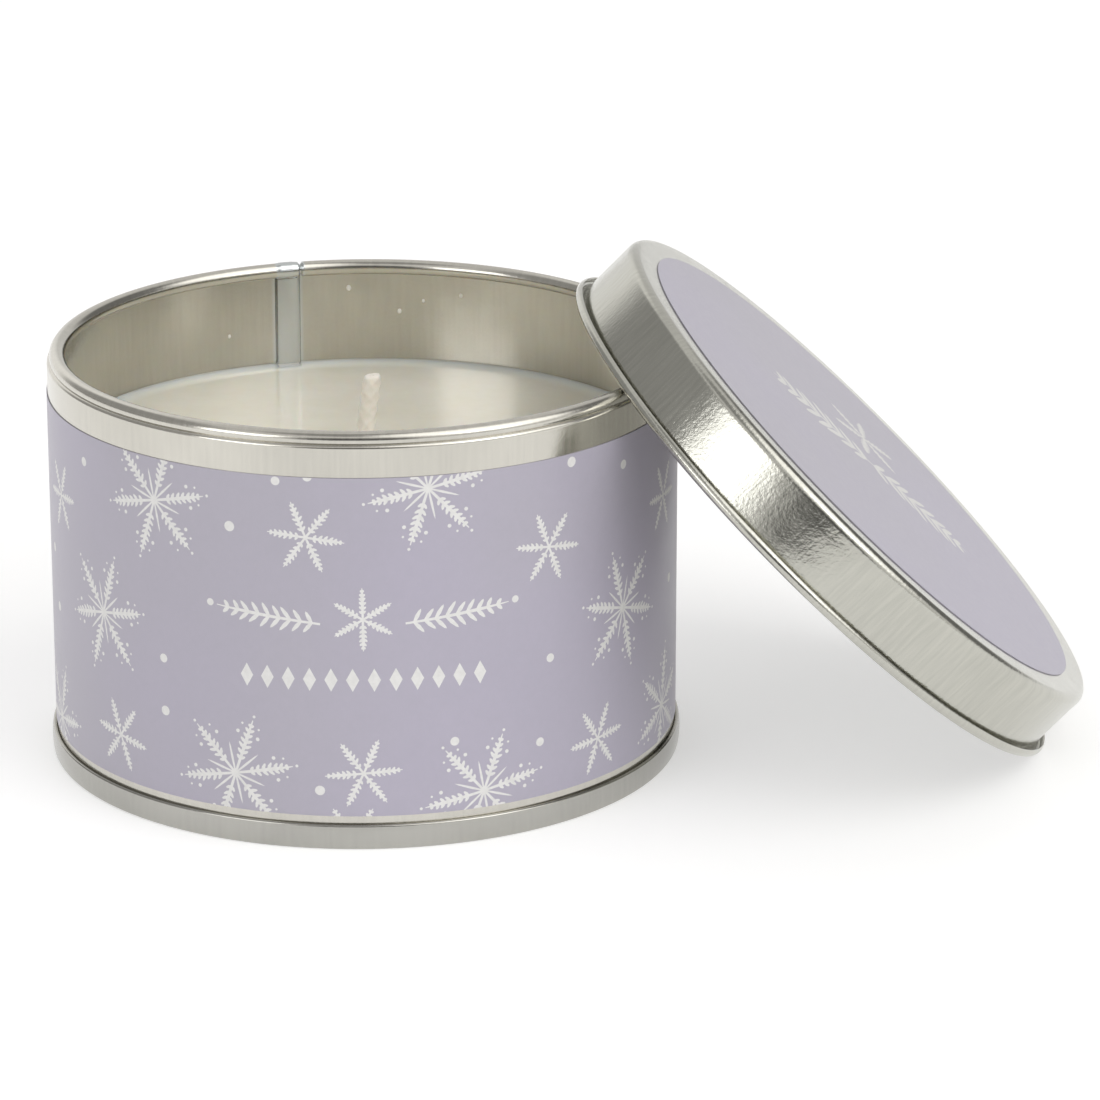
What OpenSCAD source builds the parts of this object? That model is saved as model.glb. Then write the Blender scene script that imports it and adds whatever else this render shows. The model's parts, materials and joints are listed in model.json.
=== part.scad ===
// Round tinplate candle tin with its slip lid leaning on the rim.
//
// Millimetres, +Z up. The origin is where the tin's axis meets the surface that it stands on,
// and the lid leans away from the tin towards +X, with its cavity facing the tin.
// The tin is a three-piece can: a rolled wall with a lock seam, a rolled rim and a base that is
// double-seamed to the wall. It holds wax, a wick, the wick's sustainer and the dot that glues
// the sustainer to the base. The wall, the lid and the base each carry a stuck-on label.

/* [Tin] */
// Outside diameter of the bare wall
tin_d = 77; // [70:1:90]
// Height from the table to the top of the rolled rim
tin_h = 51.3; // [50:0.1:52.5]
// Thickness of the tinplate
sheet_t = 0.2; // [0.16:0.01:0.22]
// Outside diameter of the rolled rim's tube
curl_d = 1.95; // [1.7:0.05:2.3]
// How far the rolled rim stays inside the wall's outer face
curl_inset = 0.3; // [0.2:0.05:0.4]

/* [Lock seam] */
// Direction of the wall's lock seam round the tin, in degrees from +X
lock_angle = 105; // [95:1:175]
// Width of the folded band inside the wall
lock_w = 3.2; // [2.5:0.1:4]
// How far the folded band stands in from the wall
lock_depth = 0.6; // [0.4:0.05:0.7]

/* [Base seam] */
// Height of the double seam round the base
seam_h = 3.1; // [2.8:0.1:3.4]
// Clearance between the folded layers, which thin lacquer and compound fill
layer_gap = 0.02; // [0.01:0.01:0.03]
// Height of the base panel's underside above the table, next to the seam
panel_z = 3.0; // [2.8:0.1:3.4]
// Rise of the middle of the base panel above its outer ring
panel_step = 0.5; // [0.3:0.1:0.8]

/* [Wax and wick] */
// Height of the wax above the table
wax_z = 37.2; // [30:0.1:42]
// How far the wax climbs the wall
meniscus_h = 0.5; // [0.3:0.1:0.9]
// Diameter of the wick
wick_d = 2.2; // [1.5:0.1:3]
// Length of wick above the wax
wick_out = 9.7; // [5:0.1:12]
// Lean of the wick above the wax, towards the lid
wick_lean = 7; // [2:1:12]
// Diameter of the sustainer's foot
foot_d = 15; // [12:1:20]
// Height of the sustainer's neck
neck_h = 6; // [4:0.5:9]

/* [Labels] */
// Height of the wall label's lower edge above the table
label_z = 4.1; // [3.6:0.1:6]
// Height of the wall label
label_h = 41.9; // [30:0.1:43]
// Thickness of each paper label
label_t = 0.12; // [0.08:0.01:0.16]
// Diameter of the lid's label
lid_label_d = 71.0; // [60:0.2:74]
// Diameter of the blank label under the base
base_label_d = 50; // [40:1:60]

/* [Lid] */
// Outside diameter of the lid's skirt
lid_d = 78.9; // [78.2:0.1:79.2]
// Height of the lid
lid_h = 9.5; // [8:0.1:12]
// Outside diameter of the tube rolled along the lid's edge
bead_d = 1.35; // [1.2:0.05:1.7]
// Outside radius of the corner between the lid's top and skirt
corner_r = 1.2; // [1:0.1:2.5]

/* [Lid leaning on the tin] */
// Tilt of the lid from level
lean = 44.1; // [43.5:0.1:45.5]
// Clearance that is left between the lid's edge and the rim
lean_gap = 0.06; // [0.05:0.01:0.2]

/* [Hidden] */
$fn = 96;

TINPLATE = [0.78, 0.77, 0.74];
LAVENDER = [0.68, 0.66, 0.74];
PLAIN_PAPER = [0.95, 0.95, 0.94];
WAX_CREAM = [0.93, 0.91, 0.84];
WICK_COTTON = [0.93, 0.89, 0.82];
COMPOUND_GREY = [0.45, 0.43, 0.4];
FOAM_WHITE = [0.9, 0.9, 0.88];

// The folded layers of the base seam, as radii of the sheets' middle lines, from inside out
layer = sheet_t + layer_gap;
wall_r = tin_d / 2 - sheet_t / 2;
chuck_r = wall_r - layer;
end_hook_r = wall_r + layer;
body_hook_r = wall_r + 2 * layer;
seam_r = wall_r + 3 * layer;
wall_in_r = tin_d / 2 - sheet_t;

// Heights inside the base seam
foot_r = 0.3;
body_turn_z = 0.55;
body_hook_z = seam_h - 0.8;
end_turn_z = seam_h - sheet_t / 2 - layer;
end_hook_z = 0.9;

// The base panel's middle line
panel_mid_z = panel_z + sheet_t / 2;
panel_bend_r = 0.5;
panel_ring_r = 34.5;
panel_slope_w = 1.2;

// The rolled rim's middle line
curl_r = curl_d / 2 - sheet_t / 2;
curl_ring_r = tin_d / 2 - curl_inset - curl_d / 2;
curl_z = tin_h - curl_d / 2;
curl_start = -28;
curl_end = 285;
// The wall bends in to meet the rim
shoulder_r = 0.4;
shoulder_h = 0.45;
shoulder_z = curl_z + curl_r * sin(curl_start) - shoulder_h;

// The lock seam
lock_z0 = panel_z + sheet_t + 0.35;
lock_z1 = tin_h - curl_d - 0.4;
lock_groove_w = 0.35;
lock_groove_depth = 0.25;

// The wick's stack, from the base panel up; the wick leans from just above the wax
fit_gap = 0.02;
dot_z0 = panel_z + panel_step + sheet_t + fit_gap;
dot_d = 12;
dot_t = 0.5;
foot_z0 = dot_z0 + dot_t + fit_gap;
foot_t = 0.3;
foot_bend_r = 0.45;
neck_r = wick_d / 2 + fit_gap + foot_t / 2;
wick_z0 = foot_z0 + 0.1;
wick_bend_z = wax_z + 0.2;
wick_tip = 0.3;
meniscus_w = 1.8;

// The lid's own frame: z = 0 on the plane of its open edge, +z out of its top
skirt_r = lid_d / 2 - sheet_t / 2;
bead_r = bead_d / 2 - sheet_t / 2;
bead_ring_r = skirt_r + bead_r;
bead_mid_z = bead_d / 2;
bead_end = -240;
lid_top_z = lid_h - sheet_t / 2;
lid_corner_r = corner_r - sheet_t / 2;

// ---- sheet metal profiles ----

function unit(v) = v / norm(v);

// Points along a bend of the sheet's middle line, from angle a0 to a1
function bend(centre, r, a0, a1, steps = 8) =
    [for (i = [0:steps]) let (a = a0 + (a1 - a0) * i / steps) centre + r * [cos(a), sin(a)]];

// Direction of a path at point i: the mean of the two stretches that meet there
function heading(path, i) =
    unit((i > 0 ? unit(path[i] - path[i - 1]) : [0, 0])
         + (i < len(path) - 1 ? unit(path[i + 1] - path[i]) : [0, 0]));

// A path moved sideways by d, to its left
function beside(path, d) =
    [for (i = [0:len(path) - 1]) let (h = heading(path, i)) path[i] + d * [-h[1], h[0]]];

function backwards(list) = [for (i = [len(list) - 1:-1:0]) list[i]];

// Closed outline of a sheet of thickness t that follows a path
function sheet(path, t) = concat(beside(path, t / 2), backwards(beside(path, -t / 2)));

function body_path() = concat(
    [[body_hook_r, body_hook_z]],
    bend([end_hook_r, body_turn_z], layer, 0, -180),
    bend([wall_r - shoulder_r, shoulder_z], shoulder_r, 0, 50, 4),
    bend([curl_ring_r, curl_z], curl_r, curl_start, curl_end, 28));

function panel_path() = concat(
    [[0, panel_mid_z + panel_step],
     [panel_ring_r - panel_slope_w, panel_mid_z + panel_step],
     [panel_ring_r, panel_mid_z]],
    bend([chuck_r - panel_bend_r, panel_mid_z - panel_bend_r], panel_bend_r, 90, 0));

function base_path() = concat(
    panel_path(),
    bend([chuck_r + foot_r, foot_r + sheet_t / 2], foot_r, 180, 270),
    bend([seam_r - foot_r, foot_r + sheet_t / 2], foot_r, 270, 360),
    bend([seam_r - layer, end_turn_z], layer, 0, 180),
    [[end_hook_r, end_hook_z]]);

function lid_path() = concat(
    [[0, lid_top_z]],
    bend([skirt_r - lid_corner_r, lid_top_z - lid_corner_r], lid_corner_r, 90, 0),
    bend([bead_ring_r, bead_mid_z], bead_r, 180, 180 - bead_end, 24));

module turned(points) {
    rotate_extrude() polygon(points);
}

// A band that stands on the inside of the wall along the lock seam
module lock_band(inner_r, outer_r, w, z0, z1) {
    rotate([0, 0, lock_angle]) translate([0, 0, z0]) linear_extrude(z1 - z0)
        intersection() {
            difference() {
                circle(outer_r);
                circle(inner_r);
            }
            translate([0, -w / 2]) square([tin_d, w]);
        }
}

// ---- the lid's resting place ----

// A point on the middle of the lid's bead, a degrees round from its highest point, with the
// bead resting on the table and the lid's axis x in front of the tin's
function bead_point(x, a) = [
    x - bead_ring_r * cos(a) * cos(lean),
    bead_ring_r * sin(a),
    bead_mid_z + bead_ring_r * (1 + cos(a)) * sin(lean)];

// Distance from the bead's middle to the middle of the rolled rim, negative when it is below
function rim_distance(x) = let (
    all = [for (a = [20:0.5:100]) let (p = bead_point(x, a))
           [norm([norm([p[0], p[1]]) - curl_ring_r, p[2] - curl_z]), p[2] - curl_z]],
    least = min([for (v = all) v[0]]))
    [for (v = all) if (v[0] == least) v[0] * sign(v[1])][0];

// The lid's place along X where its bead clears the rim by lean_gap
function lean_place(near, far, steps = 16) =
    let (mid = (near + far) / 2)
    steps == 0 ? mid
    : rim_distance(mid) < (bead_d + curl_d) / 2 + lean_gap ? lean_place(mid, far, steps - 1)
    : lean_place(near, mid, steps - 1);

bead_x = lean_place(tin_d * 0.55, tin_d * 0.85);
bead_z = bead_mid_z + bead_ring_r * sin(lean);
lid_axis = [sin(lean), 0, cos(lean)];
lid_place = [bead_x, 0, bead_z] - bead_mid_z * lid_axis;

module on_lid() {
    translate(lid_place) rotate([0, lean, 0]) children();
}

// ---- the pieces ----

module tin_body() {
    color(TINPLATE) difference() {
        union() {
            turned(sheet(body_path(), sheet_t));
            lock_band(wall_in_r - lock_depth, wall_r, lock_w, lock_z0, lock_z1);
        }
        lock_band(tin_d / 2 - lock_groove_depth, tin_d, lock_groove_w, lock_z0 + 1, lock_z1 - 1);
    }
}

module tin_base() {
    color(TINPLATE) turned(sheet(base_path(), sheet_t));
}

module seam_compound() {
    low = body_hook_z + 2 * fit_gap;
    half_w = sheet_t / 2;
    high = end_turn_z + layer / 2 - fit_gap;
    color(COMPOUND_GREY) turned([
        [body_hook_r - half_w, low],
        [body_hook_r + half_w, low],
        [body_hook_r + half_w, end_turn_z],
        [body_hook_r, high],
        [body_hook_r - half_w, end_turn_z]]);
}

module body_label() {
    r = tin_d / 2 + fit_gap;
    color(LAVENDER) translate([0, 0, label_z]) difference() {
        cylinder(h = label_h, r = r + label_t);
        translate([0, 0, -1]) cylinder(h = label_h + 2, r = r);
    }
}

module base_label() {
    color(PLAIN_PAPER)
        translate([0, 0, panel_z + panel_step - fit_gap - label_t])
        cylinder(h = label_t, d = base_label_d);
}

// The wax's surface from the wall inwards: it climbs the wall by meniscus_h
function wax_surface(side_r, steps = 6) =
    [for (i = [0:steps]) let (t = i / steps)
     [side_r - meniscus_w * t, wax_z + meniscus_h * pow(1 - t, 2)]];

// Room in the wax for the dot, the sustainer and the wick
module wick_pocket() {
    dot_r = dot_d / 2 + fit_gap;
    foot_r = foot_d / 2 + fit_gap;
    foot_low = foot_z0 - fit_gap;
    foot_high = foot_z0 + foot_t + fit_gap;
    bend_mid = [neck_r + foot_bend_r, foot_z0 + foot_t / 2 + foot_bend_r];
    turned(concat(
        [[0, panel_z], [dot_r, panel_z], [dot_r, foot_low], [foot_r, foot_low], [foot_r, foot_high]],
        bend(bend_mid, foot_bend_r - foot_t / 2 - fit_gap, 270, 180),
        [[neck_r + foot_t / 2 + fit_gap, foot_z0 + neck_h + fit_gap],
         [0, foot_z0 + neck_h + fit_gap]]));
    translate([0, 0, panel_z]) cylinder(h = tin_h, d = wick_d + 2 * fit_gap);
}

module wax() {
    floor_line = [for (p = beside(panel_path(), sheet_t / 2 + fit_gap)) if (p[1] > panel_z) p];
    side_r = wall_in_r - fit_gap;
    color(WAX_CREAM) difference() {
        turned(concat(
            floor_line,
            [[side_r, panel_z + sheet_t]],
            wax_surface(side_r),
            [[0, wax_z]]));
        lock_band(side_r - lock_depth - fit_gap, tin_d, lock_w + 2 * fit_gap, 0, tin_h);
        wick_pocket();
    }
}

module wick() {
    top_h = wax_z + wick_out - wick_bend_z;
    color(WICK_COTTON) {
        translate([0, 0, wick_z0]) cylinder(h = wick_bend_z - wick_z0, d = wick_d);
        translate([0, 0, wick_bend_z]) {
            sphere(d = wick_d + fit_gap);
            rotate([0, wick_lean, 0]) {
                cylinder(h = top_h - wick_tip, d = wick_d);
                translate([0, 0, top_h - wick_tip])
                    cylinder(h = wick_tip, d1 = wick_d, d2 = wick_d - 2 * wick_tip);
            }
        }
    }
}

module wick_sustainer() {
    path = concat(
        [[foot_d / 2, foot_z0 + foot_t / 2]],
        bend([neck_r + foot_bend_r, foot_z0 + foot_t / 2 + foot_bend_r], foot_bend_r, 270, 180),
        [[neck_r, foot_z0 + neck_h]]);
    color(TINPLATE) turned(sheet(path, foot_t));
}

module sustainer_dot() {
    color(FOAM_WHITE) translate([0, 0, dot_z0]) cylinder(h = dot_t, d = dot_d);
}

module lid() {
    color(TINPLATE) on_lid() turned(sheet(lid_path(), sheet_t));
}

module lid_label() {
    color(LAVENDER) on_lid() translate([0, 0, lid_h + fit_gap])
        cylinder(h = label_t, d = lid_label_d);
}

tin_body();
tin_base();
seam_compound();
body_label();
base_label();
wax();
wick();
wick_sustainer();
sustainer_dot();
lid();
lid_label();
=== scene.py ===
"""A round tinplate candle tin, open, with its slip lid leaning on the rim."""

import json
import math
import random

import bpy
import numpy as np
from mathutils import Matrix, Vector
from mathutils.geometry import delaunay_2d_cdt


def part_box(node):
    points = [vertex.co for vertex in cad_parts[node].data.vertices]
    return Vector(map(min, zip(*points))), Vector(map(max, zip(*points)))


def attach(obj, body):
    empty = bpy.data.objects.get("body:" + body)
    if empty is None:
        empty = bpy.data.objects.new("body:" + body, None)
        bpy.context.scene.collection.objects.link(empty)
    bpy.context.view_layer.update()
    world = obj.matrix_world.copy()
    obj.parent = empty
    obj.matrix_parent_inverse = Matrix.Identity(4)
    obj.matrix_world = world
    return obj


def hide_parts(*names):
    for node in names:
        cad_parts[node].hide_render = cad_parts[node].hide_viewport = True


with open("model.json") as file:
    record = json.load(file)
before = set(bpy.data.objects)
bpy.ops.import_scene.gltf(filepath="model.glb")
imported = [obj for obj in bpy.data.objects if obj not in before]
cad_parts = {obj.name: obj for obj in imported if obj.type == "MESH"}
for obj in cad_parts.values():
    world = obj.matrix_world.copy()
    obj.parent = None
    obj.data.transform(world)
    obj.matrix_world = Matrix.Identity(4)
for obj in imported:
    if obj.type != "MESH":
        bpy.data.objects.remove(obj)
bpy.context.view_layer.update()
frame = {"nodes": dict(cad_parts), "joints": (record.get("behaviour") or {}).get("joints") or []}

# Lengths are in millimetres up to the point where a mesh is made
MM = 0.001


def low(node):
    """Lowest corner of a node's box at rest, in millimetres."""
    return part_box(node)[0] / MM


def high(node):
    """Highest corner of a node's box at rest, in millimetres."""
    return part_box(node)[1] / MM


# ---- sizes, from the frame where it has them ----

TIN_H = high("tin_body").z
SHEET = 0.2
LAYER = SHEET + 0.02
WALL_OUT = 38.5
WALL_MID = WALL_OUT - SHEET / 2
WALL_IN = WALL_OUT - SHEET

# The base: its double seam, and its panel with a low raised middle
SEAM_H = 3.1
SEAM_BULGE = 0.1
HEEL_R = 0.3
CHUCK_R = 0.5
PANEL_Z = 3.0
PANEL_STEP = 0.5
STEP_IN = 33.2
STEP_OUT = 34.5
HOOK_FOLD_Z = 0.55
HOOK_TOP_Z = SEAM_H - 0.8

# The rolled rim, and the small shoulder where the wall turns into it
CURL_D = 1.95
CURL_INSET = 0.3
CURL_RING = WALL_OUT - CURL_INSET - CURL_D / 2
CURL_Z = TIN_H - CURL_D / 2
CURL_START = -28
CURL_END = 285
SHOULDER_R = 0.4
SHOULDER_DROP = 0.45

# The lock seam at the rear: its direction in degrees, half its width in radians, and how its folds
# show inside, outside and in the rim
LOCK_ANGLE = 105
LOCK_W = 3.2
LOCK_HALF_ANGLE = 0.046
LOCK_DEPTH = 0.55
LOCK_Z0 = 3.6
LOCK_Z1 = TIN_H - CURL_D + 0.05
LOCK_END = 0.6
GROOVE_W = 0.25
GROOVE_DEPTH = 0.16
NICK_AT = -1.45
NICK_W = 0.3
NICK_DEPTH = 0.42
SWELL_AT = 0.5
SWELL_W = 2.2
SWELL_HEIGHT = 0.07

# The wax, and how it climbs the wall and the wick
WAX_RISE = 0.5
WAX_Z = high("wax").z - WAX_RISE
WAX_CLIMB_W = 1.9
WAX_GAP = 0.3
WICK_HOLE_R = 1.12
WICK_RISE = 0.28
WICK_CLIMB_W = 1.6
WAX_SAG = 0.12
SAG_AT = 7
SAG_W = 5

# The wick: its lean in degrees, its braid, how flat it is and how its cut end frays
WICK_R = 1.04
WICK_LEAN = 7.0
WICK_FLAT = 0.94
BRAID_PITCH = 3.4
BRAID_DEPTH = 0.085
CROSSING = 0.03
FRAY = 0.05
FRAY_H = 0.5
SOAKED_H = 1.2

# The paper wrap, which ends over its own start
LABEL_Z0 = low("body_label").z
LABEL_Z1 = high("body_label").z
LABEL_T = 0.1
LABEL_IN = WALL_OUT + 0.02
LABEL_LAP = 6.0

# The lid's own frame: z along the axis on which it lifts, x down its slope
LID_AXIS = Vector(frame["joints"][0]["axis"])
LID_DOWN = Vector((LID_AXIS.z, 0, -LID_AXIS.x))
LID_R = 39.45
LID_H = 9.5
LID_LABEL_MID = LID_H + 0.08
BEAD_D = 1.35
LID_CORNER = 1.2
DISC_R = 35.5
DISC_T = 0.11
LID_PLACE = (low("lid_label") + high("lid_label")) / 2 - LID_LABEL_MID * LID_AXIS
LID_MATRIX = Matrix((LID_DOWN, Vector((0, 1, 0)), LID_AXIS)).transposed().to_4x4()
LID_MATRIX.translation = LID_PLACE


# ---- meshes ----

def new_piece(name, points, faces, materials, body, stands_for=(), face_slots=None):
    """A mesh piece from points in millimetres, riding on a body of the frame."""
    mesh = bpy.data.meshes.new(name)
    mesh.from_pydata([Vector(p) * MM for p in points], [], faces)
    for material in materials:
        mesh.materials.append(material)
    if face_slots is not None:
        mesh.polygons.foreach_set("material_index", face_slots)
    mesh.update()
    piece = bpy.data.objects.new(name, mesh)
    bpy.context.scene.collection.objects.link(piece)
    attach(piece, body)
    if stands_for:
        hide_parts(*stands_for)
    return piece


def smooth(piece, sharp_degrees=40):
    """Smooth shading, except over edges sharper than an angle."""
    piece.data.shade_smooth()
    piece.data.set_sharp_from_angle(angle=math.radians(sharp_degrees))


def bend(centre, radius, start, end, steps=12):
    """Points on an arc in the (r, z) plane, from one angle to another in degrees."""
    angles = [math.radians(start + (end - start) * i / steps) for i in range(steps + 1)]
    return [(centre[0] + radius * math.cos(a), centre[1] + radius * math.sin(a)) for a in angles]


def line(start, end, steps):
    """Points from start up to, but without, the end."""
    return [tuple(a + (b - a) * i / steps for a, b in zip(start, end)) for i in range(steps)]


def beside(path, distance):
    """A path in the (r, z) plane moved sideways, to its left."""
    points = np.array(path, float)
    steps = np.diff(points, axis=0)
    steps /= np.linalg.norm(steps, axis=1)[:, None]
    ahead = np.vstack([steps, steps[-1:]]) + np.vstack([steps[:1], steps])
    ahead /= np.linalg.norm(ahead, axis=1)[:, None]
    return points + distance * np.stack([-ahead[:, 1], ahead[:, 0]], axis=1)


def sheet_outline(path, thickness=SHEET):
    """Closed outline of a sheet that follows a path."""
    return np.vstack([beside(path, thickness / 2), beside(path, -thickness / 2)[::-1]])


def around(count, fine_at=None):
    """Angles round an axis in degrees, closer together near one of them."""
    span, steps = 8, 64
    angles = set(360 * i / count for i in range(count))
    if fine_at is not None:
        angles = set(a for a in angles if abs(a - fine_at) > span / 2)
        angles |= set(fine_at - span / 2 + span * i / steps for i in range(steps + 1))
    return sorted(angles)


ON_AXIS = 1e-6


def turned(name, outline, angles, materials, body, stands_for, shape=None, matrix=None):
    """A solid turned about an axis from a closed outline. shape moves the turned points.
    Its UV map is in millimetres: the way round, and the way along the outline."""
    outline = np.array(outline, float)
    degrees = np.array(angles, float)
    r = np.repeat(outline[:, :1], len(degrees), axis=1)
    z = np.repeat(outline[:, 1:], len(degrees), axis=1)
    if shape:
        r, z = shape(r, z, degrees)
    turn = np.radians(degrees)
    points, first = [], []
    for i in range(len(outline)):
        first.append(len(points))
        if outline[i, 0] < ON_AXIS:
            points.append((0, 0, z[i, 0]))
        else:
            points.extend(zip(r[i] * np.cos(turn), r[i] * np.sin(turn), z[i]))
    along = np.concatenate([[0], np.cumsum(np.linalg.norm(np.diff(outline, axis=0), axis=1))])
    outer_r = outline[:, 0].max()
    faces, uvs = [], []
    count = len(angles)
    for i in range(len(outline)):
        j = (i + 1) % len(outline)
        pole_i, pole_j = outline[i, 0] < ON_AXIS, outline[j, 0] < ON_AXIS
        if pole_i and pole_j:
            continue
        v_i, v_j = along[i], along[j] if j else along[i] + SHEET
        for k in range(count):
            m = (k + 1) % count
            u_k = turn[k] * outer_r
            u_m = (turn[m] + (2 * math.pi if m == 0 else 0)) * outer_r
            if pole_i:
                corners = [(first[i], u_k, v_i), (first[j] + m, u_m, v_j), (first[j] + k, u_k, v_j)]
            elif pole_j:
                corners = [(first[i] + k, u_k, v_i), (first[i] + m, u_m, v_i), (first[j], u_k, v_j)]
            else:
                corners = [(first[i] + k, u_k, v_i), (first[i] + m, u_m, v_i),
                           (first[j] + m, u_m, v_j), (first[j] + k, u_k, v_j)]
            faces.append([c[0] for c in corners])
            uvs.extend((c[1], c[2]) for c in corners)
    if matrix:
        points = [matrix @ Vector(p) for p in points]
    piece = new_piece(name, points, faces, materials, body, stands_for)
    layer = piece.data.uv_layers.new(name="UVMap")
    layer.data.foreach_set("uv", np.array(uvs, np.float32).ravel())
    smooth(piece)
    return piece


def step(x, edge, width):
    """0 below an edge and 1 above it, smooth over a width."""
    t = np.clip((x - edge) / width + 0.5, 0, 1)
    return t * t * (3 - 2 * t)


def hump(x, centre, full, soft):
    """1 within half of full from the centre, falling to 0 over soft."""
    return 1 - step(np.abs(x - centre), full / 2, soft)


# ---- the printed pattern, in millimetres on the flat paper ----

def turn_points(points, degrees, centre=(0, 0)):
    """Flat points turned about the origin, then moved to a centre."""
    c, s = math.cos(math.radians(degrees)), math.sin(math.radians(degrees))
    return [(centre[0] + c * x - s * y, centre[1] + s * x + c * y) for x, y in points]


def dot(x, y, radius, sides=14):
    """A round mark, as the corners of a polygon."""
    turns = [2 * math.pi * i / sides for i in range(sides)]
    return [(x + radius * math.cos(a), y + radius * math.sin(a)) for a in turns]


def leaf(x, y, length, width, degrees):
    """A pointed stroke that starts at a point and swells in its middle."""
    shape = [(0, -0.3 * width), (0.45 * length, -0.5 * width), (0.85 * length, -0.3 * width), (length, 0),
             (0.85 * length, 0.3 * width), (0.45 * length, 0.5 * width), (0, 0.3 * width)]
    return turn_points(shape, degrees, (x, y))


def barbed_arm(length, rng, bare, pairs, barb, stem_w, leaf_w):
    """Strokes of a snowflake's arm along +x: a stem and pairs of barbs that shrink outwards.
    bare is the share of the stem without barbs; barb is a barb's length, and w a stroke's width."""
    strokes = [[(0, -0.32 * stem_w), (0.7 * length, -0.5 * stem_w), (length, -0.12 * stem_w),
                (length, 0.12 * stem_w), (0.7 * length, 0.5 * stem_w), (0, 0.32 * stem_w)]]
    for i in range(pairs):
        t = i / (pairs - 1)
        x = length * (bare + (0.88 - bare) * t)
        size = barb * (0.75 + 0.75 * t - 1.05 * t * t) * rng.uniform(0.88, 1.12)
        for side in (1, -1):
            angle = side * rng.uniform(46, 58)
            strokes.append(leaf(x, 0, size, leaf_w, angle))
    return strokes


def large_flake(centre, degrees, rng):
    """Six barbed arms with six plain rays and loose dots between them."""
    arm, ray = 7.3, 3.75
    form = {"bare": 0.27, "pairs": 7, "barb": 1.08, "stem_w": 0.46, "leaf_w": 0.43}
    strokes = []
    for k in range(6):
        arm_at = degrees + 60 * k + rng.uniform(-1.5, 1.5)
        length = arm * rng.uniform(0.97, 1.03)
        for stroke in barbed_arm(length, rng, **form):
            strokes.append(turn_points(stroke, arm_at, centre))
        strokes.append(turn_points(dot(length + 0.5, 0, 0.19, 10), arm_at, centre))
        ray_at = arm_at + 30
        strokes.append(turn_points(leaf(0.2, 0, ray, 0.3, 0), ray_at, centre))
        for side in (1, -1):
            strokes.append(turn_points(dot(5.4, 0, 0.24, 12), ray_at + side * 15.5, centre))
            strokes.append(turn_points(dot(6.5, 0, 0.15, 10), ray_at + side * 20, centre))
    return strokes


def small_flake(centre, degrees, rng, scale=1.0, weight=1.0):
    """Six barbed arms; weight widens their strokes."""
    form = {"bare": 0.2, "pairs": 6, "barb": 0.8 * scale, "stem_w": 0.4 * weight, "leaf_w": 0.35 * weight}
    strokes = []
    for k in range(6):
        arm_at = degrees + 60 * k + rng.uniform(-2, 2)
        for stroke in barbed_arm(4.6 * scale, rng, **form):
            strokes.append(turn_points(stroke, arm_at, centre))
    return strokes


def band_of_diamonds(start, end, count, half_w, half_h):
    """Small diamonds in a row from one point to another."""
    marks = []
    for i in range(count):
        t = i / (count - 1)
        x, y = start[0] + (end[0] - start[0]) * t, start[1] + (end[1] - start[1]) * t
        marks.append([(x - half_w, y), (x, y - half_h), (x + half_w, y), (x, y + half_h)])
    return marks


# Flakes on the front half of the wrap: way round from the middle of the front, height, turn
LARGE_FLAKES = ((-26.4, 40.8, 13), (7.8, 44.5, 13), (-36.1, 24.5, 13), (36.0, 24.5, -15),
                (-15.7, 8.6, 12), (14.45, 6.2, 11), (-50.5, 6.5, 8), (47.0, 8.5, 20))
SMALL_FLAKES = ((-6.6, 38.7, -7), (23.3, 35.2, -7), (-33.2, 9.7, -8), (-0.1, 9.5, 5),
                (31.2, 9.2, 5), (-47.5, 36.0, 5), (47.0, 35.5, -5), (-1.4, 1.1, 0))
LOOSE_DOTS = ((-39.8, 42.4), (-10.1, 45.4), (-6.3, 46.1), (-15.9, 39.3), (-25.5, 21.3), (-25.4, 14.7),
              (-50.0, 21.0), (-5.3, 7.3), (10.8, 12.9), (22.0, 11.0), (23.5, 21.3), (26.7, 45.0),
              (36.0, 42.5), (50.0, 24.0), (-52.0, 28.0))
LOOSE_DOT_R = 0.6
MIDDLE_Z = 25.5


def wrap_ink():
    """The wrap's print: flakes all round, and a plain ornament in the middle of the front."""
    rng = random.Random(7)
    half_round = math.pi * (LABEL_IN + LABEL_T)
    strokes = []
    for shift in (-half_round, 0, half_round):
        for x, z, degrees in LARGE_FLAKES:
            strokes += large_flake((x + shift, z), degrees, rng)
        for x, z, degrees in SMALL_FLAKES:
            strokes += small_flake((x + shift, z), degrees, rng)
        for x, z in LOOSE_DOTS:
            strokes.append(dot(x + shift, z, LOOSE_DOT_R * rng.uniform(0.9, 1.08)))
    strokes += small_flake((0, MIDDLE_Z + 3.2), 30, rng, scale=0.85)
    for side in (1, -1):
        for stroke in barbed_arm(12.8, rng, bare=0.08, pairs=9, barb=2.2, stem_w=0.42, leaf_w=0.52):
            strokes.append(turn_points(stroke, 90 - side * 84, (side * 5.0, MIDDLE_Z + 2.6)))
        strokes.append(dot(side * 18.6, MIDDLE_Z + 4.1, 0.45))
    row_z = MIDDLE_Z - 4.3
    strokes += band_of_diamonds((-14.0, row_z), (14.0, row_z), count=12, half_w=0.78, half_h=1.45)
    for behind in (-half_round, half_round):
        strokes += large_flake((behind - 1, MIDDLE_Z - 2), 10, rng)
        strokes += small_flake((behind - 15, MIDDLE_Z + 1.5), 8, rng)
        strokes += small_flake((behind + 11, MIDDLE_Z + 5.5), -8, rng)
        strokes.append(dot(behind + 12.5, MIDDLE_Z - 4.5, LOOSE_DOT_R))
    return strokes


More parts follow.
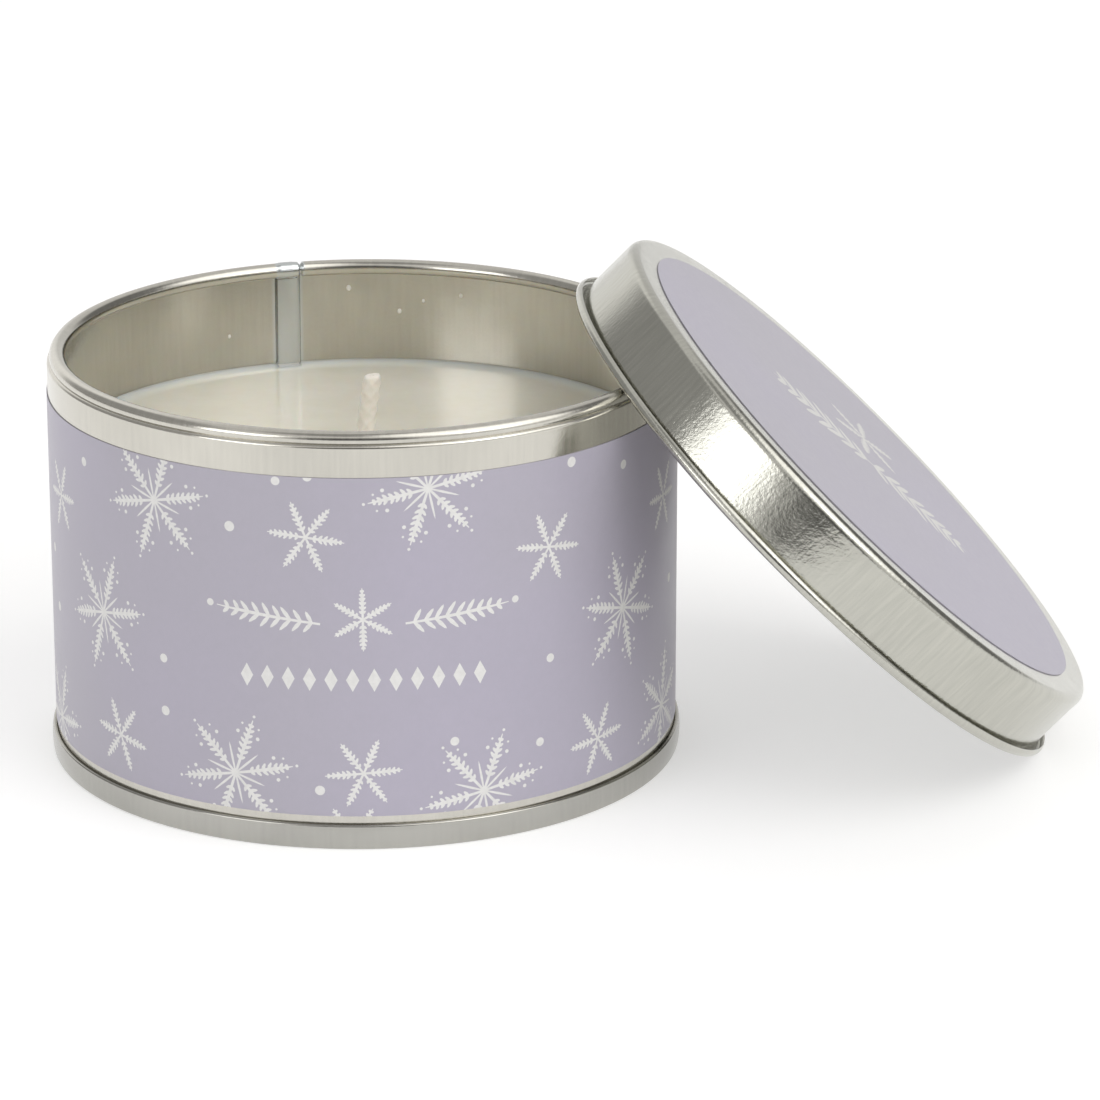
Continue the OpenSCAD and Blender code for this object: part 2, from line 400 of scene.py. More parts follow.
def lid_ink():
    """The lid's print: a small flake over a pair of sprigs across the disc."""
    rng = random.Random(11)
    strokes = small_flake((1.8, 14.6), 30, rng, scale=1.35, weight=1.8)
    for outward in (0, 180):
        for stroke in barbed_arm(17.0, rng, bare=0.05, pairs=8, barb=5.2, stem_w=0.6, leaf_w=1.15):
            strokes.append(turn_points(stroke, outward, (1.8, 4.6)))
    return strokes


def cut_print(outline, cuts, strokes):
    """Triangles of a flat paper cut along its printed strokes.
    Returns the points, the triangles and, for each triangle, whether it is inked."""
    points, faces, edges = [], [], []
    for polygon in [outline, *strokes]:
        faces.append(list(range(len(points), len(points) + len(polygon))))
        points.extend(Vector(p) for p in polygon)
    for start, end in cuts:
        edges.append((len(points), len(points) + 1))
        points.extend((Vector(start), Vector(end)))
    found = delaunay_2d_cdt(points, edges, faces, 0, 1e-5)
    inside = [(t, any(i > 0 for i in ids)) for t, ids in zip(found[2], found[5]) if 0 in ids]
    return [tuple(p) for p in found[0]], [t for t, _ in inside], [inked for _, inked in inside]


def border(triangles):
    """Edges with a triangle on one side only, in that triangle's order."""
    seen = set((t[i], t[(i + 1) % len(t)]) for t in triangles for i in range(len(t)))
    return [e for e in seen if (e[1], e[0]) not in seen]


def paper(name, flat, lift, face_normal, thickness, materials, body, stands_for):
    """A printed paper: its inked face, its plain back and its edges, as one closed solid.
    lift takes a flat point and a depth below the face to a point of the object."""
    points, triangles, inked = flat
    used = sorted(set(i for t in triangles for i in t))
    index = {old: new for new, old in enumerate(used)}
    triangles = [[index[i] for i in t] for t in triangles]
    points = [points[i] for i in used]
    signed = sum((points[b][0] - points[a][0]) * (points[c][1] - points[a][1])
                 - (points[c][0] - points[a][0]) * (points[b][1] - points[a][1])
                 for a, b, c in triangles[:50])
    if signed < 0:
        triangles = [t[::-1] for t in triangles]
    count = len(points)
    solid = [lift(p, 0) for p in points] + [lift(p, thickness) for p in points]
    faces = list(triangles) + [[i + count for i in reversed(t)] for t in triangles]
    slots = [1 if i else 0 for i in inked] + [0] * len(triangles)
    normals = [face_normal(points[i]) for t in triangles for i in t]
    normals += [-face_normal(points[i]) for t in triangles for i in reversed(t)]
    for a, b in border(triangles):
        faces.append([b, a, a + count, b + count])
        slots.append(0)
        side = (Vector(solid[b]) - Vector(solid[a])).cross(face_normal(points[a])).normalized()
        normals += [side] * 4
    piece = new_piece(name, solid, faces, materials, body, stands_for, slots)
    layer = piece.data.uv_layers.new(name="UVMap")
    flat_uv = points + points
    layer.data.foreach_set("uv", np.array([flat_uv[i] for f in faces for i in f], np.float32).ravel())
    piece.data.shade_smooth()
    piece.data.normals_split_custom_set([tuple(n) for n in normals])
    return piece


# ---- materials ----

class Shader:
    """A Principled material with a few helpers for its nodes."""

    def __init__(self, name, **sockets):
        self.material = bpy.data.materials.new(name)
        self.material.use_nodes = True
        self.tree = self.material.node_tree
        self.surface = self.tree.nodes["Principled BSDF"]
        for socket, value in sockets.items():
            self.surface.inputs[socket.replace("_", " ")].default_value = value
        self.place = self.tree.nodes.new("ShaderNodeTexCoord")

    def node(self, kind, **settings):
        node = self.tree.nodes.new(kind)
        for key, value in settings.items():
            setattr(node, key, value)
        return node

    def link(self, start, end):
        self.tree.links.new(start, end)

    def stretched(self, scale, source="Object"):
        """Texture coordinates scaled along each axis."""
        mapping = self.node("ShaderNodeMapping")
        mapping.inputs["Scale"].default_value = scale
        self.link(self.place.outputs[source], mapping.inputs["Vector"])
        return mapping.outputs["Vector"]

    def noise(self, scale, detail=3, rough=0.5, vector=None):
        node = self.node("ShaderNodeTexNoise")
        node.inputs["Scale"].default_value = scale
        node.inputs["Detail"].default_value = detail
        node.inputs["Roughness"].default_value = rough
        self.link(vector or self.place.outputs["Object"], node.inputs["Vector"])
        return node.outputs["Fac"]

    def ramp(self, factor, *stops):
        """stops are (position, colour or grey)."""
        node = self.node("ShaderNodeValToRGB")
        elements = node.color_ramp.elements
        while len(elements) < len(stops):
            elements.new(0.5)
        for element, (position, colour) in zip(elements, stops):
            element.position = position
            grey = isinstance(colour, (int, float))
            element.color = (colour, colour, colour, 1) if grey else (*colour, 1)
        self.link(factor, node.inputs["Fac"])
        return node.outputs["Color"]

    def mix(self, factor, first, second):
        node = self.node("ShaderNodeMix", data_type="RGBA")
        for value, socket in ((factor, node.inputs[0]), (first, node.inputs[6]), (second, node.inputs[7])):
            if isinstance(value, bpy.types.NodeSocket):
                self.link(value, socket)
            else:
                socket.default_value = value
        return node.outputs[2]

    def bump(self, *heights):
        """Bump from (height, strength, distance in millimetres) layers."""
        normal = None
        for height, strength, distance in heights:
            node = self.node("ShaderNodeBump")
            node.inputs["Strength"].default_value = strength
            node.inputs["Distance"].default_value = distance * MM
            self.link(height, node.inputs["Height"])
            if normal:
                self.link(normal, node.inputs["Normal"])
            normal = node.outputs["Normal"]
        self.link(normal, self.surface.inputs["Normal"])

    def strip(self, degrees, half_width):
        """1 on an upright strip of a wall round the Z axis, by its direction; widths in radians."""
        split = self.node("ShaderNodeSeparateXYZ")
        self.link(self.place.outputs["Object"], split.inputs["Vector"])
        turn = self.node("ShaderNodeMath", operation="ARCTAN2")
        self.link(split.outputs["Y"], turn.inputs[0])
        self.link(split.outputs["X"], turn.inputs[1])
        away = self.node("ShaderNodeMath", operation="SUBTRACT")
        self.link(turn.outputs[0], away.inputs[0])
        away.inputs[1].default_value = math.radians(degrees)
        size = self.node("ShaderNodeMath", operation="ABSOLUTE")
        self.link(away.outputs[0], size.inputs[0])
        edge = self.node("ShaderNodeMapRange", interpolation_type="SMOOTHSTEP")
        for socket, value in (("From Min", half_width), ("From Max", half_width * 1.25),
                              ("To Min", 1.0), ("To Max", 0.0)):
            edge.inputs[socket].default_value = value
        self.link(size.outputs[0], edge.inputs["Value"])
        return edge.outputs["Result"]

    def set(self, socket, value):
        self.link(value, self.surface.inputs[socket])


def tinplate(name, along_scale, across_scale, tint=(0.6, 0.582, 0.53), streak=0.15, grain=0.15,
             contrast=0.3, lock=False):
    """Bright tinplate with drawn streaks, faint mottling and orange peel.
    lock paints a cooler, bluer strip along the wall's lock seam: a painted reflection of the cooler light
    that the seam's flat band mirrors."""
    s = Shader(name, Metallic=1.0)
    streaks = s.noise(1.0, 3, 0.5, s.stretched((across_scale, along_scale, 1), "UV"))
    mottle = s.noise(420, 3, 0.5)
    clouds = s.noise(55, 3, 0.5)
    peel = s.noise(2400, 2, 0.6)
    dull = tuple(c * 0.88 for c in tint)
    bright = tuple(min(1, c * 1.07) for c in tint)
    colour = s.ramp(clouds, (0.3, dull), (0.72, bright))
    colour = s.mix(contrast, colour, s.ramp(streaks, (0.33, dull), (0.66, bright)))
    if lock:
        # Painted reflection: the lock seam's band gets a cooler, bluer colour standing in for the light its
        # flat face mirrors
        colour = s.mix(s.strip(LOCK_ANGLE, LOCK_HALF_ANGLE), colour, (0.62, 0.645, 0.65, 1))
    s.set("Base Color", colour)
    rough = s.mix(0.5, s.ramp(mottle, (0.3, 0.14), (0.75, 0.22)), s.ramp(streaks, (0.3, 0.14), (0.8, 0.24)))
    s.set("Roughness", rough)
    s.bump((clouds, 0.3, 0.4), (mottle, 0.5 * grain, 0.05), (streaks, streak, 0.02), (peel, grain, 0.035))
    return s.material


def label_paper(name, tint, deep):
    """Coated lavender paper with faint mottling and a fine tooth."""
    s = Shader(name, Coat_Weight=0.25, Coat_Roughness=0.3)
    s.surface.inputs["Specular IOR Level"].default_value = 0.4
    clouds = s.noise(60, 4, 0.6)
    grain = s.noise(900, 4, 0.7)
    threads = s.noise(1.0, 2, 0.5, s.stretched((7, 1.2, 1), "UV"))
    drift = s.noise(22, 2, 0.5)
    greyer = (tint[0] * 0.99, tint[1] * 1.02, tint[2] * 0.9)
    colour = s.mix(0.5, s.ramp(clouds, (0.3, deep), (0.7, tint)), s.ramp(drift, (0.38, greyer), (0.6, tint)))
    colour = s.mix(0.25, colour, s.ramp(grain, (0.3, deep), (0.7, tuple(min(1, c * 1.06) for c in tint))))
    colour = s.mix(0.12, colour, s.ramp(threads, (0.3, deep), (0.7, tint)))
    s.set("Base Color", colour)
    s.set("Roughness", s.ramp(grain, (0.3, 0.38), (0.75, 0.5)))
    s.bump((grain, 0.08, 0.02), (threads, 0.05, 0.02))
    return s.material


def white_ink(name):
    """White print that lets a little of the paper through."""
    tint = (0.74, 0.735, 0.725)
    s = Shader(name, Roughness=0.5)
    s.surface.inputs["Specular IOR Level"].default_value = 0.4
    thin = s.noise(1500, 3, 0.6)
    worn = s.noise(300, 2, 0.5)
    body = s.ramp(thin, (0.25, tuple(c * 0.88 for c in tint)), (0.6, tint))
    s.set("Base Color", s.mix(0.25, body, s.ramp(worn, (0.3, tuple(c * 0.9 for c in tint)), (0.7, tint))))
    s.bump((thin, 0.08, 0.01))
    return s.material


def candle_wax(name):
    """Cream wax, a little see-through, with a glossy skin and faint mottling."""
    s = Shader(name, Subsurface_Weight=0.6, Subsurface_Scale=0.004, IOR=1.44)
    s.surface.inputs["Subsurface Radius"].default_value = (1.0, 0.75, 0.5)
    clouds = s.noise(70, 4, 0.55)
    frost = s.noise(260, 4, 0.65)
    colour = s.ramp(clouds, (0.3, (0.85, 0.81, 0.68)), (0.7, (0.9, 0.87, 0.76)))
    bloom = s.ramp(frost, (0.35, (0.85, 0.81, 0.69)), (0.7, (0.91, 0.89, 0.81)))
    s.set("Base Color", s.mix(0.3, colour, bloom))
    s.set("Roughness", s.ramp(frost, (0.3, 0.1), (0.8, 0.24)))
    s.bump((clouds, 0.2, 0.12), (frost, 0.08, 0.03))
    return s.material


def waxed_cotton(name):
    """Cotton soaked in wax."""
    s = Shader(name, Roughness=0.55, Subsurface_Weight=0.3, Subsurface_Scale=0.0015)
    s.surface.inputs["Subsurface Radius"].default_value = (1.0, 0.7, 0.55)
    fibres = s.noise(1.0, 4, 0.6, s.stretched((9000, 9000, 1500)))
    tone = s.noise(500, 3, 0.5)
    colour = s.ramp(tone, (0.3, (0.88, 0.82, 0.73)), (0.7, (0.95, 0.91, 0.84)))
    strands = s.ramp(fibres, (0.3, (0.84, 0.78, 0.69)), (0.7, (0.96, 0.93, 0.87)))
    s.set("Base Color", s.mix(0.35, colour, strands))
    s.bump((fibres, 0.25, 0.03))
    return s.material


def plain(name, tint, roughness, grain_scale, depth):
    """A matt material with tone and tooth of its own scale; depth is in millimetres."""
    s = Shader(name)
    grain = s.noise(grain_scale, 4, 0.6)
    clouds = s.noise(grain_scale / 8, 3, 0.5)
    dark = tuple(c * 0.86 for c in tint)
    tones = [s.ramp(texture, (0.3, dark), (0.7, tint)) for texture in (grain, clouds)]
    s.set("Base Color", s.mix(0.5, *tones))
    s.set("Roughness", s.ramp(grain, (0.3, roughness - 0.08), (0.7, roughness + 0.08)))
    s.bump((grain, 0.3, depth))
    return s.material


BODY_TIN = tinplate("tinplate_body", along_scale=0.1, across_scale=1.6, lock=True)
LID_TIN = tinplate("tinplate_lid", along_scale=0.16, across_scale=2.2, tint=(0.52, 0.516, 0.468),
                   streak=0.6, grain=0.65, contrast=0.5)
# The base seam's tinplate is a darker copy of the body's: its lower tint is painted shade, standing in for
# the shade and darker reflections at the tin's foot
SHADED_SEAM_TIN = tinplate("tinplate_base_painted_shade", along_scale=0.1, across_scale=1.6, tint=(0.445, 0.438, 0.408),
                    streak=0.3)
LAVENDER = label_paper("lavender_paper", tint=(0.42, 0.395, 0.48), deep=(0.385, 0.365, 0.442))
LID_LAVENDER = label_paper("lavender_disc", tint=(0.45, 0.426, 0.515), deep=(0.42, 0.4, 0.487))
INK = white_ink("white_ink")
WAX = candle_wax("candle_wax")
COTTON = waxed_cotton("waxed_cotton")
SPLASH = plain("wax_splash", (0.9, 0.88, 0.82), roughness=0.35, grain_scale=1800, depth=0.01)


# ---- the tin ----

def on_lock(degrees, width, soft):
    """1 on the lock seam's band, by the way round the wall."""
    way = np.radians(degrees - LOCK_ANGLE) * WALL_IN
    return hump(way, 0, width, soft)


def body_path():
    """Middle of the wall's sheet: the hook in the base seam, the upright wall and the rolled rim."""
    curl_r = CURL_D / 2 - SHEET / 2
    shoulder_z = CURL_Z + curl_r * math.sin(math.radians(CURL_START)) - SHOULDER_DROP
    return ([(WALL_MID + 2 * LAYER, HOOK_TOP_Z)]
            + bend((WALL_MID + LAYER, HOOK_FOLD_Z), LAYER, 0, -180)
            + line((WALL_MID, HOOK_FOLD_Z + 0.05), (WALL_MID, LOCK_Z0), 2)
            + line((WALL_MID, LOCK_Z0), (WALL_MID, LOCK_Z0 + LOCK_END), 3)
            + line((WALL_MID, LOCK_Z0 + LOCK_END), (WALL_MID, LOCK_Z1 - LOCK_END), 24)
            + line((WALL_MID, LOCK_Z1 - LOCK_END), (WALL_MID, LOCK_Z1), 4)
            + line((WALL_MID, LOCK_Z1), (WALL_MID, shoulder_z), 2)
            + bend((WALL_MID - SHOULDER_R, shoulder_z), SHOULDER_R, 0, 50, 5)
            + bend((CURL_RING, CURL_Z), curl_r, CURL_START, CURL_END, 44))


def shape_body(r, z, degrees):
    """Folds the lock seam into the wall, with its groove outside and its nick in the rim."""
    inside = r < WALL_MID - 1e-3
    on_wall = step(z, LOCK_Z0 + 0.3, 0.5) * (1 - step(z, LOCK_Z1 - 0.1, 0.18))
    way = np.radians(degrees - LOCK_ANGLE) * WALL_IN
    band = (on_lock(degrees, LOCK_W - 0.1, 0.16) * (1 + 0.1 * way / LOCK_W))[None, :]
    groove = hump(np.radians(degrees - LOCK_ANGLE) * WALL_OUT, 0, GROOVE_W, 0.2)[None, :]
    flat_wall = (np.abs(r - WALL_MID) < SHEET * 0.6) & (z < LOCK_Z1 + 0.01)
    r = r - np.where(flat_wall & inside, LOCK_DEPTH * band * on_wall, 0)
    r = r - np.where(flat_wall & ~inside, GROOVE_DEPTH * groove * on_wall, 0)
    on_curl = (z > LOCK_Z1 + 0.04) | (r < WALL_MID - 3 * SHEET)
    nick = NICK_DEPTH * hump(way, NICK_AT, NICK_W, 0.45)
    swell = SWELL_HEIGHT * hump(way, SWELL_AT, SWELL_W, 0.8)
    pinch = np.where(on_curl, (nick - swell)[None, :] / (CURL_D / 2), 0)
    r = r + (CURL_RING - r) * pinch
    z = z + (CURL_Z - z) * pinch
    return r, z


def tin_body():
    """The wall with its rolled rim, more finely divided at the lock seam."""
    return turned("tin_wall", sheet_outline(body_path())[::-1], around(300, LOCK_ANGLE), [BODY_TIN],
                  "tin", ["tin_body"], shape_body)


def base_path():
    """Middle of the base's sheet: the panel, the seam's inner side, its heel, its rounded outside
    and the hook that folds over the wall's hook."""
    panel = PANEL_Z + SHEET / 2
    raised = panel + PANEL_STEP
    chuck = WALL_MID - LAYER
    seam = WALL_MID + 3 * LAYER
    seam_edge = seam - SEAM_BULGE
    top_r = LAYER - SEAM_BULGE / 2
    heel_z, top_z = HEEL_R + SHEET / 2, SEAM_H - SHEET / 2 - top_r
    bulge = [(seam - SEAM_BULGE * (1 - i / 6) ** 2, heel_z + (top_z - heel_z) * i / 12)
             for i in range(1, 12)]
    return ([(0, raised), (20, raised), (STEP_IN, raised), (STEP_IN + 0.3, raised - 0.04),
             (STEP_OUT - 0.3, panel + 0.04), (STEP_OUT, panel)]
            + bend((chuck - CHUCK_R, panel - CHUCK_R), CHUCK_R, 90, 0)
            + bend((chuck + HEEL_R, heel_z), HEEL_R, 180, 270)
            + bend((seam_edge - HEEL_R, heel_z), HEEL_R, 270, 345)
            + bulge
            + bend((seam_edge - top_r, top_z), top_r, 0, 180, 16)
            + [(WALL_MID + LAYER, 0.9)])


def tin_base():
    """The pressed base and the outside of its double seam, in a darker tinplate whose lower tint is painted
    shade at the tin's foot.
    """
    return turned("tin_base_seam", sheet_outline(base_path()), around(300), [SHADED_SEAM_TIN],
                  "tin", ["tin_base"])


def wrap_label():
    """The paper wrap: one strip that ends over its own start, at the back."""
    face_r = LABEL_IN + LABEL_T
    once = 2 * math.pi * face_r
    start = -once * 0.52
    end = start + once + LABEL_LAP
    strip = [(start, LABEL_Z0), (end, LABEL_Z0), (end, LABEL_Z1), (start, LABEL_Z1)]
    columns = 250
    cuts = []
    for i in range(1, columns):
        x = start + (end - start) * i / columns
        cuts.append(((x, LABEL_Z0), (x, LABEL_Z1)))
    front = -math.pi / 2

    def lift(p, depth):
        over = (LABEL_T + 0.01) * float(step(np.array(p[0]), start + once - 0.6, 1.2))
        r = face_r + over - depth
        a = front + p[0] / face_r
        return (r * math.cos(a), r * math.sin(a), p[1])

    def normal(p):
        a = front + p[0] / face_r
        return Vector((math.cos(a), math.sin(a), 0))

    return paper("wrap_label", cut_print(strip, cuts, wrap_ink()), lift, normal, LABEL_T,
                 [LAVENDER, INK], "tin", ["body_label"])


def wax_fill():
    """The wax: it climbs the wall and the wick a little and sags between them."""
    side = WALL_IN - 0.02
    steps = 48
    top = []
    for i in range(steps + 1):
        r = side - (side - WICK_HOLE_R) * i / steps
        climb = WAX_RISE * max(0, 1 - (side - r) / WAX_CLIMB_W) ** 2.2
        at_wick = WICK_RISE * max(0, 1 - (r - WICK_HOLE_R) / WICK_CLIMB_W) ** 2
        sag = WAX_SAG * math.exp(-((r - SAG_AT) / SAG_W) ** 2)
        top.append((r, WAX_Z + climb + at_wick - sag))
    foot = PANEL_Z + WAX_GAP
    raised = foot + PANEL_STEP
    outline = ([(WICK_HOLE_R, raised), (STEP_IN, raised), (STEP_OUT + 0.1, foot), (side, foot)]
               + line((side, foot + 0.1), (side, WAX_Z + WAX_RISE), 12) + top
               + line((WICK_HOLE_R, WAX_Z), (WICK_HOLE_R, raised), 8)[1:])

    def shape(r, z, degrees):
        at_side = r > side - 0.05
        band = on_lock(degrees, LOCK_W + 0.05, 0.2)[None, :]
        r = r - np.where(at_side, (LOCK_DEPTH + 0.02) * band, 0)
        surface = z > WAX_Z - 0.5
        turn = np.radians(degrees)[None, :]
        roll = 0.05 * np.sin(2 * turn + 0.7) + 0.03 * np.sin(5 * turn + 2.0)
        return r, z + np.where(surface, roll * np.clip(r / side, 0, 1) ** 2, 0)

    return turned("wax_fill", outline, around(240, LOCK_ANGLE), [WAX], "tin", ["wax"], shape)


def wick_centre(z):
    """The wick's middle: upright in the wax, then leaning towards the lid with a slight curl."""
    above = max(0.0, z - WAX_Z)
    bow = 0.06 * math.sin(min(1, above / 9.5) * math.pi)
    return Vector((above * math.tan(math.radians(WICK_LEAN)) - bow, 0.1 * math.sin(above * 0.5), z))


def wick():
    """A braided cotton wick with a cut, slightly splayed top."""
    z0, z1 = low("wick").z, high("wick").z
    rings, sides = 260, 64
    rng = random.Random(3)
    points, faces = [], []
    for i in range(rings + 1):
        z = z0 + (z1 - z0) * i / rings
        centre = wick_centre(z)
        near_top = max(0.0, 1 - (z1 - z) / FRAY_H)
        soaked = math.exp(-max(0, z - WAX_Z) / SOAKED_H)
        for k in range(sides):
            a = 2 * math.pi * k / sides
            rise = 2 * math.pi * z / BRAID_PITCH
            one = math.cos(4 * a + rise * 2)
            other = math.cos(4 * a - rise * 2)
            braid = max(one, other) * BRAID_DEPTH + CROSSING * one * other
            fray = FRAY * rng.uniform(-1, 1) * near_top
            r = (WICK_R + braid * (1 - 0.75 * soaked) + fray + FRAY * near_top) * (1 - 0.25 * near_top ** 3)
            slant = 0.1 * near_top * math.cos(a)
            points.append(centre + Vector((r * math.cos(a), r * math.sin(a) * WICK_FLAT, slant)))
    for i in range(rings):
        for k in range(sides):
            m = (k + 1) % sides
            faces.append([i * sides + k, i * sides + m, (i + 1) * sides + m, (i + 1) * sides + k])
    top = rings * sides
    middle = wick_centre(z1)
    ring = top
    for share, drop in ((0.72, 0.05), (0.4, 0.02)):
        start = len(points)
        for k in range(sides):
            edge = points[top + k] - middle
            lump = 0.07 * rng.uniform(-1, 1)
            points.append(middle + Vector((edge.x * share, edge.y * share, edge.z + lump - drop)))
        for k in range(sides):
            m = (k + 1) % sides
            faces.append([ring + k, ring + m, start + m, start + k])
        ring = start
    points.append(middle)
    faces += [[ring + k, ring + (k + 1) % sides, len(points) - 1] for k in range(sides)]
    faces.append(list(range(sides))[::-1])
    piece = new_piece("braided_wick", points, faces, [COTTON], "tin", ["wick"])
    smooth(piece, 60)
    return piece


# Splashes on the inside of the wall: direction in degrees, height and radius
SPLASHES = ((93.0, 47.2, 0.32), (83.2, 44.1, 0.28), (78.5, 45.6, 0.2), (71.0, 46.6, 0.24),
            (117.0, 42.0, 0.22))


def wax_drops():
    """Small splashes of wax left on the inside of the wall when it was poured."""
    thick, tall = 0.55, 1.25
    rings, sides = 5, 14
    points, faces = [], []
    for degrees, z, radius in SPLASHES:
        a = math.radians(degrees)
        out = Vector((math.cos(a), math.sin(a), 0))
        across = Vector((-math.sin(a), math.cos(a), 0))
        foot = out * (WALL_IN + 0.02) + Vector((0, 0, z))
        start = len(points)
        for i in range(rings):
            t = math.pi / 2 * i / rings
            for k in range(sides):
                b = 2 * math.pi * k / sides
                flat = radius * math.cos(t)
                points.append(foot + across * flat * math.cos(b) + Vector((0, 0, tall * flat * math.sin(b)))
                              - out * thick * radius * math.sin(t))
        points.append(foot - out * thick * radius)
        for i in range(rings - 1):
            for k in range(sides):
                m = (k + 1) % sides
                faces.append([start + i * sides + k, start + (i + 1) * sides + k,
                              start + (i + 1) * sides + m, start + i * sides + m])
        last = start + (rings - 1) * sides
        faces += [[last + (k + 1) % sides, last + k, start + rings * sides] for k in range(sides)]
        faces.append([start + k for k in range(sides)])
    piece = new_piece("wax_drops", points, faces, [SPLASH], "tin")
    smooth(piece, 60)
    return piece


# ---- the lid ----

def lid_path():
    """Middle of the lid's sheet: the flat top, the rounded corner, the skirt and the rolled bead."""
    skirt = LID_R - SHEET / 2
    bead_r = BEAD_D / 2 - SHEET / 2
    top = LID_H - SHEET / 2
    corner = LID_CORNER - SHEET / 2
    flat_rings = (0, 12, 24, 34, 36.2, 37.0)
    return ([(r, top) for r in flat_rings]
            + bend((skirt - corner, top - corner), corner, 90, 0, 16)
            + line((skirt, top - corner - 0.4), (skirt, BEAD_D / 2), 10)
            + bend((skirt + bead_r, BEAD_D / 2), bead_r, 180, 420, 36))


def lid_shell():
    """The pressed lid, with a skirt that is a little out of round."""
    def shape(r, z, degrees):
        turn = np.radians(degrees)[None, :]
        wobble = 0.035 * np.sin(3 * turn + 0.4) + 0.02 * np.sin(7 * turn + 1.1)
        on_skirt = step(r, LID_R - 2.5, 1.0) * step(z, 2.0, 1.5) * (1 - step(z, LID_H - 2.2, 1.2))
        return r + wobble * on_skirt, z

    return turned("lid_shell", sheet_outline(lid_path())[::-1], around(320), [LID_TIN],
                  "lid", ["lid"], shape, LID_MATRIX)


def lid_disc():
    """The round paper label glued on the lid's flat top."""
    face_z = LID_H + 0.02 + DISC_T
    sides = 240
    rim = dot(0, 0, DISC_R, sides)
    cuts = [(rim[i], rim[i + sides // 2]) for i in range(0, sides // 2, 20)]

    def lift(p, depth):
        return LID_MATRIX @ Vector((p[0], p[1], face_z - depth))

    def normal(p):
        return LID_AXIS

    return paper("lid_disc_label", cut_print(rim, cuts, lid_ink()), lift, normal, DISC_T,
                 [LID_LAVENDER, INK], "lid", ["lid_label"])


# ---- the rest of the frame keeps its meshes and gets its materials ----

def dress(node, material):
    """Gives a CAD node one material."""
    slots = frame["nodes"][node].data.materials
    slots.clear()
    slots.append(material)


tin_body()
tin_base()
wrap_label()
wax_fill()
wick()
wax_drops()
lid_shell()
lid_disc()
dress("seam_compound",
      plain("seam_compound", (0.2, 0.19, 0.17), roughness=0.6, grain_scale=1500, depth=0.02))
dress("base_label",
      plain("base_label_paper", (0.86, 0.86, 0.84), roughness=0.55, grain_scale=1200, depth=0.01))
dress("wick_sustainer", tinplate("tinplate_sustainer", along_scale=0.5, across_scale=0.5))
dress("sustainer_dot", plain("foam_dot", (0.82, 0.82, 0.8), roughness=0.8, grain_scale=2200, depth=0.05))


# ---- floor, light and camera: lengths are in metres ----

CAMERA_AT = (0.00524, -0.61983, 0.23298)
CAMERA_YAW = math.radians(1.636)
CAMERA_PITCH = math.radians(18.618)
CAMERA_ROLL = math.radians(-0.013)
CAMERA_LENS = 172.75
CAMERA_SENSOR = 36

LIGHT_TARGET = Vector((0.02, 0, 0.03))


def floor():
    """A plain white floor that glows a little, which keeps its shadows soft."""
    half = 3.0
    corners = [(-half, -half, 0), (half, -half, 0), (half, half, 0), (-half, half, 0)]
    mesh = bpy.data.meshes.new("floor")
    mesh.from_pydata(corners, [], [(0, 1, 2, 3)])
    s = Shader("floor_white", Roughness=0.7, Emission_Strength=0.48)
    s.surface.inputs["Specular IOR Level"].default_value = 0.1
    s.surface.inputs["Emission Color"].default_value = (1, 1, 1, 1)
    s.set("Base Color", s.ramp(s.noise(4, 2), (0.3, (0.67, 0.67, 0.67)), (0.7, (0.69, 0.69, 0.69))))
    mesh.materials.append(s.material)
    plane = bpy.data.objects.new("floor", mesh)
    bpy.context.scene.collection.objects.link(plane)


def toward(azimuth, elevation):
    """Unit vector; azimuth 0 is the front (-Y) and 90 is +X, in degrees."""
    a, e = math.radians(azimuth), math.radians(elevation)
    return Vector((math.sin(a) * math.cos(e), -math.cos(a) * math.cos(e), math.sin(e)))


def softbox(name, azimuth, elevation, distance, width, height, radiance):
    """A rectangular light that faces the object, given the radiance of its face."""
    light = bpy.data.lights.new(name, "AREA")
    light.shape = "RECTANGLE"
    light.size = width
    light.size_y = height
    light.energy = radiance * math.pi * width * height
    lamp = bpy.data.objects.new(name, light)
    lamp.location = LIGHT_TARGET + toward(azimuth, elevation) * distance
    lamp.rotation_euler = (LIGHT_TARGET - lamp.location).to_track_quat("-Z", "Y").to_euler()
    bpy.context.scene.collection.objects.link(lamp)


# The room that the metal mirrors: its radiance, and patches of another radiance by their azimuth,
# elevation, half width and fade in degrees
ROOM_RADIANCE = 0.8
ROOM = ((180, 26, 36, 26, 0.74), (-142, 20, 18, 20, 1.05), (-100, 22, 28, 18, 0.38), (116, 24, 20, 16, 0.2),
        (0, 74, 14, 14, 0.36), (-3, 10, 16, 11, 0.13), (54, 46, 20, 16, 1.85))


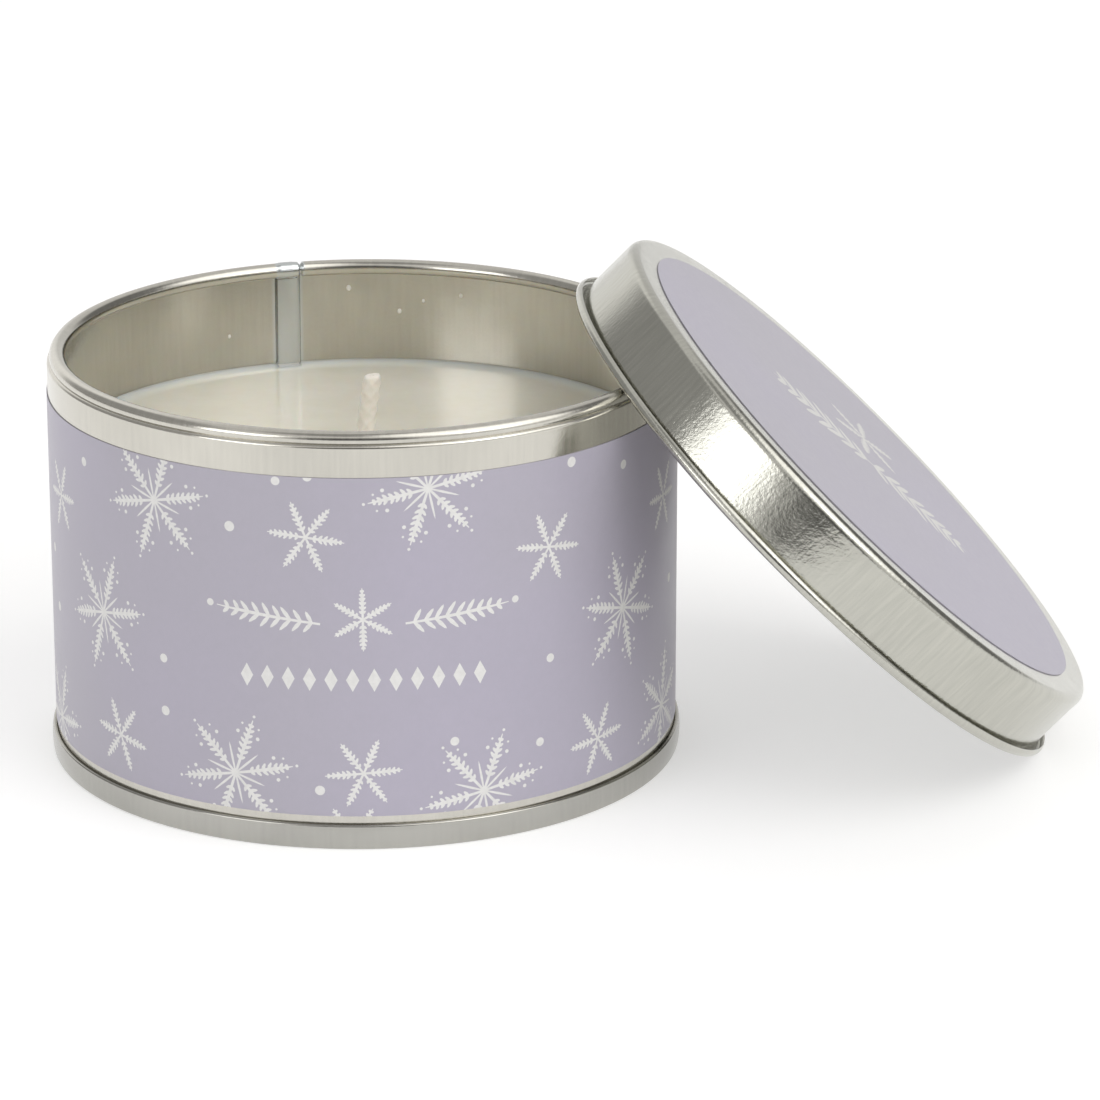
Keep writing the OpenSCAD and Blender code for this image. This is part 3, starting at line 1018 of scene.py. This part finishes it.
def studio_world():
    """A soft grey room with bright panels behind on the left and high on the right, and with darker
    patches overhead, in front and at both sides."""
    world = bpy.data.worlds.new("studio")
    world.use_nodes = True
    tree = world.node_tree
    background = tree.nodes["Background"]
    coordinate = tree.nodes.new("ShaderNodeTexCoord")
    strength = None
    for azimuth, elevation, wide, fade, radiance in ROOM:
        dot_node = tree.nodes.new("ShaderNodeVectorMath")
        dot_node.operation = "DOT_PRODUCT"
        tree.links.new(coordinate.outputs["Generated"], dot_node.inputs[0])
        dot_node.inputs[1].default_value = toward(azimuth, elevation)
        share = tree.nodes.new("ShaderNodeMapRange")
        share.interpolation_type = "SMOOTHSTEP"
        share.inputs["From Min"].default_value = math.cos(math.radians(wide + fade))
        share.inputs["From Max"].default_value = math.cos(math.radians(wide))
        tree.links.new(dot_node.outputs["Value"], share.inputs["Value"])
        mix = tree.nodes.new("ShaderNodeMix")
        mix.data_type = "FLOAT"
        tree.links.new(share.outputs["Result"], mix.inputs[0])
        if strength:
            tree.links.new(strength, mix.inputs[2])
        else:
            mix.inputs[2].default_value = ROOM_RADIANCE
        mix.inputs[3].default_value = radiance
        strength = mix.outputs[0]
    tree.links.new(strength, background.inputs["Strength"])
    background.inputs["Color"].default_value = (1.0, 0.99, 0.97, 1)
    bpy.context.scene.world = world


def camera():
    """The photograph's camera: in front of the tin, looking down a little."""
    data = bpy.data.cameras.new("camera")
    data.sensor_width = CAMERA_SENSOR
    data.lens = CAMERA_LENS
    data.clip_start = 0.01
    place = bpy.data.objects.new("camera", data)
    place.location = CAMERA_AT
    turn = Matrix.Rotation(-CAMERA_YAW, 3, "Z") @ Matrix.Rotation(math.pi / 2 - CAMERA_PITCH, 3, "X")
    place.rotation_euler = (turn @ Matrix.Rotation(-CAMERA_ROLL, 3, "Z")).to_euler()
    bpy.context.scene.collection.objects.link(place)
    bpy.context.scene.camera = place


floor()
studio_world()
softbox("key", azimuth=-46, elevation=21, distance=0.9, width=0.44, height=0.38, radiance=1.95)
softbox("fill", azimuth=46, elevation=36, distance=0.9, width=0.34, height=0.34, radiance=1.7)
camera()
bpy.context.scene.view_settings.view_transform = "Standard"
